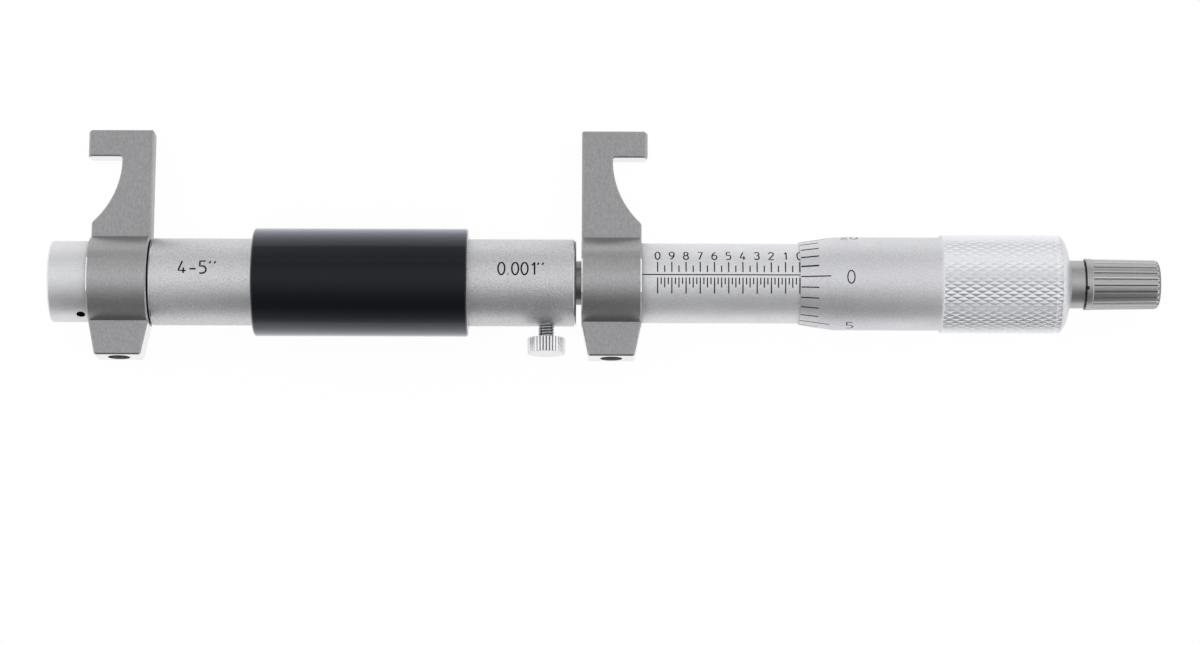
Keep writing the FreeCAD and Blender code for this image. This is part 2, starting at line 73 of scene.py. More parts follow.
# How closely the grip's painted sheen keeps to its rims.
PAINTED_SHEEN_POWER = 2.6


class Body(Enum):
    """The rigid bodies that pieces ride on."""

    FRAME = "frame"
    CARRIAGE = "carriage"
    THIMBLE = "thimble_set"
    RATCHET = "ratchet"
    LOCK = "lock_screw"


class Grain(Enum):
    """Which way the last step's marks run, and their fineness along x, y and z."""

    NONE = ("none", 1.0, 1.0, 1.0)
    ROUND = ("round the axis", 1.0, 0.02, 0.02)
    ALONG_ARM = ("along the arm", 1.0, 0.45, 1.0)
    ALONG_AXIS = ("along the axis", 0.35, 1.0, 1.0)
    BLASTED = ("no direction", 1.0, 1.0, 1.0)


# --- placing ---


@dataclass(frozen=True)
class Bench:
    """Where the instrument lies: its start, its axis and its roll."""

    start_x: float
    axis_y: float
    axis_z: float
    roll: float

    @classmethod
    def from_frame(cls) -> "Bench":
        """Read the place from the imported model, in metres and radians."""
        low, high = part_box("grip_sleeve")
        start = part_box("end_cap")[0][0]
        joints = frame["record"]["behaviour"]["joints"]
        press = next(j for j in joints if j["name"] == "lock_press")
        roll = math.atan2(-press["axis"][2], press["axis"][1])
        return cls(start, (low[1] + high[1]) / 2, (low[2] + high[2]) / 2, roll)

    def matrix(self) -> Matrix:
        """Matrix from instrument millimetres to the row frame in metres."""
        move = Matrix.Translation((self.start_x, self.axis_y, self.axis_z))
        return move @ Matrix.Rotation(-self.roll, 4, "X") @ Matrix.Scale(MM, 4)


BENCH = Bench.from_frame()


# --- materials ---


def linear(colour: str) -> Rgba:
    """Turn six sRGB hex digits into linear red, green, blue and an alpha of one."""
    parts = [int(colour[i:i + 2], 16) / 255 for i in (0, 2, 4)]
    values = [c / 12.92 if c <= 0.04045 else ((c + 0.055) / 1.055) ** 2.4 for c in parts]
    return values[0], values[1], values[2], 1.0


def set_up(tree: bpy.types.NodeTree, node: bpy.types.Node, settings: dict | None = None,
           links: dict | None = None) -> bpy.types.Node:
    """Give a node of a tree its settings and links, and return it.

    Settings are attributes or input sockets with their values. Links are input
    sockets with the (node, output socket) that feeds each.
    """
    for key, value in (settings or {}).items():
        if isinstance(key, str) and hasattr(node, key):
            setattr(node, key, value)
        else:
            node.inputs[key].default_value = value
    for key, (source, output) in (links or {}).items():
        tree.links.new(source.outputs[output], node.inputs[key])
    return node


def add_node(tree: bpy.types.NodeTree, kind: str, settings: dict | None = None,
             links: dict | None = None) -> bpy.types.Node:
    """Add a shader node of a kind, set up as in set_up, and return it."""
    return set_up(tree, tree.nodes.new("ShaderNode" + kind), settings, links)


@dataclass(frozen=True)
class Finish:
    """A surface finish: what it is made of and how it was worked.

    Attributes:
        name: The material's plain name.
        colour: Its sRGB hex colour.
        metallic: One for metal, zero for plastic and ink.
        roughness: Mean roughness.
        grain: The way its fine marks run.
        grain_mm: Width of one mark, as coarse as it needs to show.
        depth_mm: Height of the marks.
        spread: How far the colour swings from mark to mark.
        specular: Specular level, a half for metals.
        rim: Hex colour of a painted sheen mixed in at a glancing angle, or empty.
    """

    name: str
    colour: str
    metallic: float
    roughness: float
    grain: Grain = Grain.NONE
    grain_mm: float = 0.2
    depth_mm: float = 0.002
    spread: float = 0.05
    specular: float = 0.5
    rim: str = ""

    def shade(self, share: float) -> Rgba:
        """The linear base colour times a share, held at one."""
        red, green, blue, _ = (min(1.0, c * share) for c in linear(self.colour))
        return red, green, blue, 1.0

    def material(self) -> bpy.types.Material:
        """Build this finish's material, or give back the one built before."""
        found = bpy.data.materials.get(self.name)
        if found:
            return found
        made = bpy.data.materials.new(self.name)
        made.use_nodes = True
        tree = made.node_tree
        add = partial(add_node, tree)
        fineness = [share / (self.grain_mm * MM) for share in self.grain.value[1:]]
        place = add("TexCoord")
        # The pattern is turned back by the roll, so the grain follows the arms.
        level = add("Mapping", {"Rotation": (BENCH.roll, 0.0, 0.0)}, {"Vector": (place, "Object")})
        scaled = add("Mapping", {"Scale": fineness}, {"Vector": (level, "Vector")})
        marks = add("TexNoise", {"Scale": 1.0, "Detail": 3.0, "Roughness": 0.6},
                    {"Vector": (scaled, "Vector")})
        cloud = add("TexNoise", {"Scale": 1 / CLOUD, "Detail": 2.0, "Roughness": 0.5},
                    {"Vector": (level, "Vector")})
        shown = add("Mix", {"data_type": "RGBA", 6: self.shade(1 - self.spread),
                            7: self.shade(1 + self.spread)}, {"Factor": (marks, "Fac")})
        # A pale colour mixed in toward glancing angles: a painted sheen.
        if self.rim:
            glance = add("LayerWeight", {"Blend": 0.5})
            edge = add("Math", {"operation": "POWER", 1: PAINTED_SHEEN_POWER}, {0: (glance, "Facing")})
            shown = add("Mix", {"data_type": "RGBA", 7: linear(self.rim)},
                        {"Factor": (edge, "Value"), 6: (shown, 2)})
        worn = add("MapRange", {"From Min": 0.3, "From Max": 0.7,
                                "To Min": max(0.02, self.roughness - WEAR),
                                "To Max": self.roughness + WEAR}, {"Value": (cloud, "Fac")})
        shader = set_up(tree, tree.nodes["Principled BSDF"],
                        {"Metallic": self.metallic, "Specular IOR Level": self.specular},
                        {"Base Color": (shown, 2), "Roughness": (worn, "Result")})
        if self.grain is not Grain.NONE:
            bump = add("Bump", {"Strength": 1.0, "Distance": self.depth_mm * MM},
                       {"Height": (marks, "Fac")})
            set_up(tree, shader, links={"Normal": (bump, "Normal")})
        return made


# Satin chrome over a finely blasted tube: pale, with a sparkle of tiny pits.
BLASTED_CHROME = Finish("satin_chrome_blasted", "e0e1ea", 1.0, 0.44, Grain.BLASTED,
                        0.26, 0.055, 0.5)
# The same chrome on the cap, which was turned finer: brighter.
CAP_CHROME = Finish("satin_chrome_cap", "fafbff", 1.0, 0.50, Grain.BLASTED, 0.26, 0.03, 0.3)
# Satin chrome over the ground sleeve, rubbed along the axis: even and dull.
SLEEVE_CHROME = Finish("satin_chrome_sleeve", "f8f9ff", 1.0, 0.56, Grain.ALONG_AXIS,
                       0.24, 0.02, 0.25)
# Satin chrome over the blasted thimble, a little brighter than the tube.
THIMBLE_CHROME = Finish("satin_chrome_thimble", "ebecf5", 1.0, 0.50, Grain.BLASTED,
                        0.26, 0.04, 0.35)
# Bright rolled knurl, plated: the crests shine.
KNURLED_CHROME = Finish("knurled_chrome", "f7f8ff", 1.0, 0.42, Grain.BLASTED, 0.3, 0.004, 0.06)
# Tool steel ground with a fine wheel: grey, with a faint grain along the arm.
GROUND_STEEL = Finish("ground_tool_steel", "a4a4a5", 1.0, 0.38, Grain.ALONG_ARM,
                      0.26, 0.025, 0.34)
# The ring round the tube, turned after grinding: the same grey, a little brighter.
TURNED_STEEL = Finish("turned_tool_steel", "b2b2b3", 1.0, 0.38, Grain.ALONG_ARM,
                      0.26, 0.025, 0.30)
# The narrow sides of the jaws, lapped and painted nearly white: a painted highlight along each
# edge.
LAPPED_HIGHLIGHT_STEEL = Finish("lapped_steel_painted_highlight", "f0f0f3", 1.0, 0.26, Grain.ALONG_ARM,
                      0.24, 0.008, 0.10)
# Tungsten carbide insert ground together with the jaw: it hardly parts from the steel.
CARBIDE = Finish("ground_carbide", "a4a4a6", 1.0, 0.37, Grain.ALONG_ARM, 0.26, 0.02, 0.28)
# Moulded ABS grip polished to a high gloss: black, with a painted pale sheen at its rims.
GLOSS_GRIP = Finish("gloss_black_abs", "0a0f17", 0.0, 0.10, Grain.BLASTED, 3.0, 0.002, 0.15,
                    0.25, "e2e7f2")
# Polished steel rod: a dark mirror with faint rings.
POLISHED_STEEL = Finish("polished_steel_rod", "807e7d", 1.0, 0.13, Grain.ROUND,
                        0.12, 0.0006, 0.03)
# Nickel-plated steel of the ratchet: darker and duller than the chrome.
NICKEL_STEEL = Finish("nickel_plated_steel", "b8b7b7", 1.0, 0.36, Grain.BLASTED,
                      0.26, 0.016, 0.24)
# The knob's rounded end: duller, and painted darker as shade so that the painted glints in its
# flute roots stand out.
DULL_SHADED_NICKEL = Finish("dull_nickel_painted_shade", "8c8c8d", 1.0, 0.5, Grain.BLASTED, 0.2, 0.008, 0.1)
# Bright plate of the lock screw's head under a clear film: nearly white on every tooth.
PLATED_HEAD = Finish("bright_plated_head", "fafafc", 0.6, 0.24, Grain.ROUND, 0.2, 0.0008, 0.03)
# Near-white chrome painted on chamfers, thread crests and flute lips: painted highlights in thin
# shining lines.
PAINTED_HIGHLIGHT_CHROME = Finish("bright_chrome", "f0f0f2", 1.0, 0.16, Grain.ROUND, 0.2, 0.0008, 0.03)
# Black oxide on small screws, nearly black and a little oily; the same near black is painted as
# shade in grooves and holes.
BLACK_OXIDE_AND_SHADE = Finish("black_oxide_and_painted_shade", "151517", 0.5, 0.40, Grain.BLASTED, 0.15, 0.002, 0.10)
# Turned bronze of the bushes and the lock pad: warm, with fine rings.
TURNED_BRONZE = Finish("turned_bronze", "b08d57", 1.0, 0.34, Grain.ROUND, 0.15, 0.002, 0.06)
# Hardened and turned steel of the inner pieces: plain grey, with fine rings.
HARDENED_STEEL = Finish("hardened_turned_steel", "8d8d90", 1.0, 0.34, Grain.ROUND,
                        0.15, 0.002, 0.06)
# Steel thread, left grey from the die: its flanks go from dark to light.
THREAD_STEEL = Finish("grey_thread_steel", "9a9ca0", 1.0, 0.18, Grain.BLASTED,
                      0.15, 0.001, 0.08)
# Drawn spring wire: smooth and grey.
SPRING_WIRE = Finish("drawn_spring_wire", "7d7d80", 1.0, 0.30, Grain.BLASTED, 0.2, 0.001, 0.05)
# Filled engraving: a flat dark grey lacquer.
MARK_LACQUER = Finish("mark_lacquer", "1b1c1f", 0.0, 0.80, Grain.NONE, 0.2, 0.0, 0.06, 0.2)
# The darker lacquer of the two range marks on the body tube.
RANGE_LACQUER = Finish("range_mark_lacquer", "141518", 0.0, 0.80, Grain.NONE, 0.2, 0.0, 0.06,
                       0.2)


# --- meshing ---


def linked(name: str, data: bpy.types.ID) -> bpy.types.Object:
    """Make an object of some data, link it to the scene and return it."""
    made = bpy.data.objects.new(name, data)
    bpy.context.scene.collection.objects.link(made)
    return made


def stored(name: str, mesh: Mesh) -> bpy.types.Mesh:
    """Write a mesh into a data block and free it."""
    data = bpy.data.meshes.new(name)
    mesh.to_mesh(data)
    mesh.free()
    return data


def evaluated(holder: bpy.types.Object) -> Mesh:
    """The mesh that an object's modifiers or bevels give."""
    graph = bpy.context.evaluated_depsgraph_get()
    data = bpy.data.meshes.new_from_object(holder.evaluated_get(graph))
    mesh = bmesh.new()
    mesh.from_mesh(data)
    bpy.data.meshes.remove(data)
    return mesh


def of_kind(grown: dict, kind: type) -> list:
    """The elements of one kind that an extrusion made."""
    return [element for element in grown["geom"] if isinstance(element, kind)]


def shift(mesh: Mesh, way: Sequence[float], verts: Sequence[Vert] = ()) -> None:
    """Move some corners of a mesh, or all of them."""
    bmesh.ops.translate(mesh, verts=verts or mesh.verts, vec=way)


def grow(mesh: Mesh, share: Sequence[float], verts: Sequence[Vert] = ()) -> None:
    """Scale some corners of a mesh, or all of them, from the origin."""
    bmesh.ops.scale(mesh, verts=verts or mesh.verts, vec=share)


def swing(mesh: Mesh, degrees: float, axis: str) -> None:
    """Turn a whole mesh about the x, y or z axis."""
    bmesh.ops.rotate(mesh, verts=mesh.verts, cent=(0, 0, 0),
                     matrix=Matrix.Rotation(math.radians(degrees), 3, axis))


def outward(mesh: Mesh, fill: bool = False) -> None:
    """Turn all faces outward, after capping every open rim if fill is set."""
    if fill:
        bmesh.ops.holes_fill(mesh, edges=[e for e in mesh.edges if e.is_boundary], sides=0)
    bmesh.ops.recalc_face_normals(mesh, faces=mesh.faces)


def soften(mesh: Mesh, width: float) -> None:
    """Round every edge sharper than 35 degrees with a bevel of some width."""
    sharp = [e for e in mesh.edges
             if len(e.link_faces) == 2 and e.calc_face_angle(0) > math.radians(35.0)]
    bmesh.ops.bevel(mesh, geom=sharp, affect="EDGES", offset=width, offset_type="OFFSET",
                    segments=2, profile=0.5, material=-1, clamp_overlap=True)


def turned(profile: Sequence[Point], steps: int = 128, width: float = 0.0) -> Mesh:
    """Turn a profile about the x axis into a closed mesh.

    Args:
        profile: It ends on the axis, or it is closed into a ring.
        steps: Faces round the axis.
        width: Width of the rounding on its sharp rims, or zero.
    """
    mesh = bmesh.new()
    points = [mesh.verts.new((x, 0, radius)) for x, radius in profile]
    edges = [mesh.edges.new(pair) for pair in zip(points, points[1:])]
    if profile[0][1] > 0 or profile[-1][1] > 0:
        edges.append(mesh.edges.new((points[-1], points[0])))
    bmesh.ops.spin(mesh, geom=points + edges, cent=(0, 0, 0), axis=(1, 0, 0), dvec=(0, 0, 0),
                   angle=2 * math.pi, steps=steps, use_merge=True)
    bmesh.ops.remove_doubles(mesh, verts=mesh.verts, dist=1e-4)
    outward(mesh)
    if width > 0:
        soften(mesh, width)
    return mesh


def joined(meshes: Sequence[Mesh]) -> Mesh:
    """Put several meshes into one and free them."""
    whole = bmesh.new()
    for part in meshes:
        carrier = stored("carrier", part)
        whole.from_mesh(carrier)
        bpy.data.meshes.remove(carrier)
    return whole


def drilled(mesh: Mesh, cutters: Sequence[Mesh]) -> Mesh:
    """Cut closed cutters out of a closed mesh exactly, and free what went in."""
    holders = [linked("drilling", stored("drilling", part)) for part in (mesh, *cutters)]
    for cutter in holders[1:]:
        cut = holders[0].modifiers.new("hole", "BOOLEAN")
        cut.operation = "DIFFERENCE"
        cut.solver = "EXACT"
        cut.object = cutter
    result = evaluated(holders[0])
    for holder in holders:
        bpy.data.meshes.remove(holder.data)
    return result


def cross_drill(station: float, radius: float, inner: float, turn: float) -> Mesh:
    """Closed round cutter, square to the axis, from inside a wall outward.

    Args:
        station: Its place along x.
        radius: Its radius.
        inner: How far from the axis it starts.
        turn: Its direction from +z toward -y, in degrees.
    """
    mesh = bmesh.new()
    bmesh.ops.create_cone(mesh, cap_ends=True, segments=40, radius1=radius, radius2=radius,
                          depth=OUTSIDE - inner)
    shift(mesh, (station, 0, (OUTSIDE + inner) / 2))
    swing(mesh, turn, "X")
    return mesh


def piece(name: str, mesh: Mesh, finish: Finish, body: Body,
          more: Sequence[Finish] = (), smooth: float = 32.0,
          flat_above: float = math.inf) -> None:
    """Make a finished object, at the origin, of a mesh in instrument millimetres.

    Args:
        name: Its name, or the CAD node's that it replaces.
        mesh: Its mesh, which is freed.
        finish: Its surface.
        body: The body it rides on.
        more: Finishes of the faces with a higher material index.
        smooth: Edges sharper than this many degrees stay sharp.
        flat_above: Faces with more corners than this are flat.
    """
    node = name if name in frame["nodes"] else ""
    name += "_dressed" if node else ""
    mesh.transform(BENCH.matrix())
    for face in mesh.faces:
        face.smooth = len(face.verts) <= flat_above
    for edge in mesh.edges:
        edge.smooth = len(edge.link_faces) == 2 and edge.calc_face_angle(0) < math.radians(smooth)
    data = stored(name, mesh)
    for used in (finish, *more):
        data.materials.append(used.material())
    made = linked(name, data)
    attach(made, body.value)
    if node:
        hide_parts(node)
    LOG.info("%s: %d faces on %s", name, len(data.polygons), body.value)


# --- marks ---


def oval(centre: Point, wide: float, tall: float, start: float, end: float,
         steps: int = 14) -> Stroke:
    """Points along part of an oval.

    Args:
        centre: Its centre.
        wide: Half its width.
        tall: Half its height.
        start: First angle in degrees, from +x toward +y.
        end: Last angle.
        steps: Number of steps.
    """
    angles = [math.radians(start + (end - start) * i / steps) for i in range(steps + 1)]
    return [(centre[0] + wide * math.cos(a), centre[1] + tall * math.sin(a)) for a in angles]


# Single-stroke numerals of a pantograph engraver, one unit tall.
GLYPHS: dict[str, list[Stroke]] = {
    "0": [oval((0.28, 0.5), 0.28, 0.5, 90, 450, 28)],
    "1": [[(0.08, 0.74), (0.30, 1.0), (0.30, 0.0)]],
    "2": [oval((0.27, 0.73), 0.27, 0.27, 170, -35) + [(0.0, 0.0), (0.55, 0.0)]],
    "3": [oval((0.26, 0.75), 0.25, 0.25, 160, -80), oval((0.26, 0.27), 0.28, 0.27, 90, -155)],
    "4": [[(0.30, 1.0), (0.0, 0.22), (0.58, 0.20)], [(0.40, 0.45), (0.40, 0.0)]],
    "5": [[(0.48, 1.0), (0.05, 1.0), (0.05, 0.57)] + oval((0.24, 0.29), 0.30, 0.29, 88, -90)
          + [(0.02, 0.0)]],
    "6": [oval((0.28, 0.29), 0.28, 0.29, 150, 510, 24),
          oval((0.62, 0.35), 0.62, 0.65, 170, 106)],
    "7": [[(0.0, 1.0), (0.55, 1.0), (0.18, 0.0)]],
    "8": [oval((0.28, 0.75), 0.23, 0.25, 90, 450, 22),
          oval((0.28, 0.26), 0.28, 0.26, 90, 450, 22)],
    "9": [oval((0.28, 0.71), 0.28, 0.29, -30, 330, 24),
          oval((-0.06, 0.65), 0.62, 0.65, -10, -74)],
    "-": [[(0.0, 0.35), (0.48, 0.35)]],
    ".": [[(0.04, 0.06), (0.11, 0.06)], [(0.04, 0.02), (0.11, 0.02)]],
    "\"": [[(0.06, 0.80), (0.16, 0.99)], [(0.44, 0.80), (0.54, 0.99)]],
}


def lettered(text: str, left: float, foot: float, height: float, width: float,
             gaps: Sequence[float] = (), widen: float = 1.0) -> Marks:
    """Lay out numerals along the axis.

    Args:
        text: The characters.
        left: Where they start, along the axis.
        foot: Their base line, along the girth.
        height: Their height.
        width: Their strokes' width.
        gaps: Starts of the second and later ones, in heights.
        widen: Stretch of each one's width.
    """
    starts = [0.0, *gaps]
    return [([(left + height * (x * widen + at), foot + height * y) for x, y in stroke], width)
            for letter, at in zip(text, starts) for stroke in GLYPHS[letter]]


def divided(stroke: Stroke, step: float = 0.2) -> Stroke:
    """Divide a stroke into short steps along the girth, to follow a round surface."""
    points = [stroke[0]]
    for (x0, y0), (x1, y1) in zip(stroke, stroke[1:]):
        count = max(1, math.ceil(abs(y1 - y0) / step))
        points += [(x0 + (x1 - x0) * i / count, y0 + (y1 - y0) * i / count)
                   for i in range(1, count + 1)]
    return points


@dataclass(frozen=True)
class Engraving:
    """Marks wrapped on a turned surface.

    Attributes:
        name: The piece's name.
        radius_at: Radius of the surface at a station.
        zero_deg: Angle of the marks' base line from +z toward +y.
        body: The body they ride on.
        finish: The lacquer in them.
        proud: How far the lacquer stands above the surface.
    """

    name: str
    radius_at: Callable[[float], float]
    zero_deg: float
    body: Body
    finish: Finish = MARK_LACQUER
    proud: float = 0.012

    def cut(self, strokes: Marks) -> None:
        """Lay marks, drawn in (station, girth), on the surface as one piece of beads."""
        whole = joined([self.bead([line for line, own in strokes if own == width], width)
                        for width in sorted({width for _, width in strokes})])
        outward(whole)
        piece(self.name, whole, self.finish, self.body)

    def bead(self, strokes: Sequence[Stroke], width: float) -> Mesh:
        """Sweep strokes of one width into beads, wrapped and flattened."""
        drawn = bpy.data.curves.new(self.name, "CURVE")
        drawn.dimensions = "3D"
        drawn.bevel_depth = width / 2
        drawn.bevel_resolution = 1
        drawn.use_fill_caps = True
        for stroke in map(divided, strokes):
            line = drawn.splines.new("POLY")
            line.points.add(len(stroke) - 1)
            for point, (x, girth) in zip(line.points, stroke):
                point.co = (x, girth, 0.0, 1.0)
        mesh = evaluated(linked(self.name, drawn))
        bpy.data.curves.remove(drawn)
        for vert in mesh.verts:
            x, girth, lift = vert.co
            radius = self.radius_at(x)
            turn = math.radians(self.zero_deg) + girth / radius
            radius += self.proud * lift / (width / 2)
            vert.co = (x, radius * math.sin(turn), radius * math.cos(turn))
        return mesh


# --- sub-assemblies ---


@dataclass
class BodyTube:
    """The outer tube with its end cap, black grip and range marks."""

    shoulder: float = 17.8
    step: float = 18.04
    end: float = 94.5
    radius: float = 7.85
    spigot: float = 6.0
    tube_profile: tuple[Point, ...] = (
        (2.0, 4.3), (2.0, 6.0), (17.8, 6.0), (17.8, 6.35), (18.04, 6.35), (18.04, 7.68),
        (18.42, 7.85), (94.08, 7.85), (94.42, 7.57), (94.5, 7.43), (94.5, 5.8), (26.0, 5.8),
        (26.0, 4.3))
    # Where the lock screw and the guide's key go in, and the radius of both holes.
    screw_stations: Point = (89.2, 78.0)
    screw_hole: float = 1.5
    screw_inner: float = 4.8
    cap_length: float = 7.0
    cap_radius: float = 7.32
    cap_profile: tuple[Point, ...] = (
        (0.0, 0.0), (0.0, 7.07), (0.25, 7.32), (7.0, 7.32), (7.0, 6.0), (1.8, 6.0), (1.8, 0.0))
    pin_station: float = 5.75
    pin_radius: float = 0.8
    pin_depth: float = 0.9
    pin_deg: float = 65.0
    grip_profile: tuple[Point, ...] = ((36.5, 7.85), (36.5, 9.45), (36.8, 9.75), (74.8, 9.75),
                                       (75.1, 9.45), (75.1, 7.85))
    # Height of the numerals and width of their strokes.
    mark_size: Point = (2.3, 0.30)

    def build(self) -> None:
        """Build the tube, the cap, the grip and the marks."""
        self.tube()
        self.cap()
        piece("grip_sleeve", turned(self.grip_profile, 160, 0.08), GLOSS_GRIP, Body.FRAME)
        # The range marks are plain numbers.
        marks = lettered("4-5\"", self.shoulder + 5.75, 0.0, *self.mark_size, (0.88, 1.62, 2.34))
        marks += lettered("0.001\"", 80.62, -0.1, *self.mark_size,
                          (0.70, 1.07, 1.80, 2.56, 3.02), 0.93)
        Engraving("range_marks", lambda x: self.radius, 0.0, Body.FRAME, RANGE_LACQUER).cut(marks)

    def tube(self) -> None:
        """Turn the tube with painted shade in its groove and painted highlights on its end
        chamfers, and drill it.
        """
        lock, key = self.screw_stations
        tube = drilled(turned(self.tube_profile, width=0.05), [
            cross_drill(lock, self.screw_hole, self.screw_inner, 90),
            cross_drill(key, self.screw_hole, self.screw_inner, 180)])
        # Faces in the groove are painted near black as shade; the end chamfers are painted near
        # white as highlights.
        for face in tube.faces:
            x, y, z = face.calc_center_median()
            if self.shoulder - 0.05 < x < self.step + 0.01:
                face.material_index = 2 * (math.hypot(y, z) > self.spigot + 0.1)
            else:
                highlight_chamfer = self.step < x < self.step + 0.37 or 0.1 < self.end - x < 0.38
                face.material_index = int(highlight_chamfer)
        piece("frame_tube", tube, BLASTED_CHROME, Body.FRAME,
              [PAINTED_HIGHLIGHT_CHROME, BLACK_OXIDE_AND_SHADE])

    def cap(self) -> None:
        """Turn the end cap and drill its pin hole, whose inside is painted near black as shade."""
        cap = drilled(turned(self.cap_profile, width=0.05), [
            cross_drill(self.pin_station, self.pin_radius, self.cap_radius - self.pin_depth,
                        self.pin_deg)])
        # Faces inside the pin hole are painted near black as shade.
        for face in cap.faces:
            x, y, z = face.calc_center_median()
            inside = self.spigot + 0.1 < math.hypot(y, z) < self.cap_radius - 0.01
            face.material_index = int(inside and 1.0 < x < self.cap_length - 0.3)
        piece("end_cap", cap, CAP_CHROME, Body.FRAME, [BLACK_OXIDE_AND_SHADE])


@dataclass
class JawPair:
    """Both jaws with their hard tips."""

    reach: float = 11.95
    tip_length: float = 1.5
    hook_top: float = 27.75
    hook_height: float = 4.9
    thick: float = 4.0
    nose: float = 4.0
    edge: float = 0.25
    ring_radius: float = 8.25
    straight_edges: Point = (17.8, 95.5)

    def build(self) -> None:
        """Carry the jaws over with ground finishes and highlights painted on their narrow sides,
        and make their tips.
        """
        for side, body, edge, hand in (("left", Body.FRAME, self.straight_edges[0], -1),
                                       ("right", Body.CARRIAGE, self.straight_edges[1], 1)):
            piece(side + "_jaw", self.jaw(side + "_jaw"), GROUND_STEEL, body,
                  [LAPPED_HIGHLIGHT_STEEL, TURNED_STEEL], smooth=25.0, flat_above=4)
            tip = self.tip()
            grow(tip, (hand, 1, 1))
            shift(tip, (edge, 0, 0))
            outward(tip)
            # The tip's narrow sides take the same painted highlight as the jaw's.
            for face in tip.faces:
                face.material_index = int(abs(face.normal.z) < 0.15)
            piece(side + "_jaw_tip", tip, CARBIDE, body, [LAPPED_HIGHLIGHT_STEEL],
                  smooth=25.0, flat_above=4)

    def jaw(self, node: str) -> Mesh:
        """Carry a CAD node's mesh over, with its flats merged and its finishes picked."""
        mesh = bmesh.new()
        mesh.from_mesh(frame["nodes"][node].data)
        bmesh.ops.remove_doubles(mesh, verts=mesh.verts, dist=1e-7)
        bmesh.ops.dissolve_limit(mesh, angle_limit=math.radians(0.5), verts=mesh.verts,
                                 edges=mesh.edges)
        mesh.transform(BENCH.matrix().inverted())
        mesh.normal_update()
        for face in mesh.faces:
            face.material_index = self.surface_of(face)
        return mesh

    def surface_of(self, face: Face) -> int:
        """A face's finish: one, a painted highlight, on a narrow side, two on the ring's front,
        zero elsewhere.
        """
        middle = face.calc_center_median()
        beyond = math.hypot(middle.y, middle.z) - self.ring_radius
        lean = abs(face.normal.x)
        # The left jaw's inner rim lies at the groove and gets no painted highlight: it stays grey.
        in_groove = face.normal.x > 0 and middle.x < 50
        if 0.3 < lean < 0.95 and middle.z > 7.5 and not in_groove:
            return 1
        if beyond > 0.3:
            return int(abs(face.normal.z) < 0.15)
        return 2 if beyond > -0.3 and lean < 0.3 else 0

    def tip(self) -> Mesh:
        """Insert with a rounded nose, along +x from the jaw's straight edge.

        It fills the chamfer where it meets the hook.
        """
        half = self.thick / 2
        sweep = math.asin(half / self.nose)
        nose = [(self.reach - self.nose + self.nose * math.cos(a), self.nose * math.sin(a))
                for a in (-sweep + 2 * sweep * i / 16 for i in range(17))]
        start = self.reach - self.tip_length - self.edge
        mesh = bmesh.new()
        foot = self.hook_top - self.hook_height
        outline = [mesh.verts.new((x, foot, z)) for x, z in [(start, -half), *nose, (start, half)]]
        face = mesh.faces.new(outline)
        grown = bmesh.ops.extrude_face_region(mesh, geom=[face])
        shift(mesh, (0, self.hook_height, 0), of_kind(grown, Vert))
        rims = [e for e in mesh.edges
                if abs(e.verts[0].co.y - e.verts[1].co.y) < 1e-6 and e.verts[0].co.x > start - 1e-6
                and not all(abs(v.co.x - start) < 1e-6 for v in e.verts)]
        bmesh.ops.bevel(mesh, geom=rims, affect="EDGES", offset=self.edge, offset_type="OFFSET",
                        segments=1, profile=0.5, material=-1, clamp_overlap=True)
        return mesh


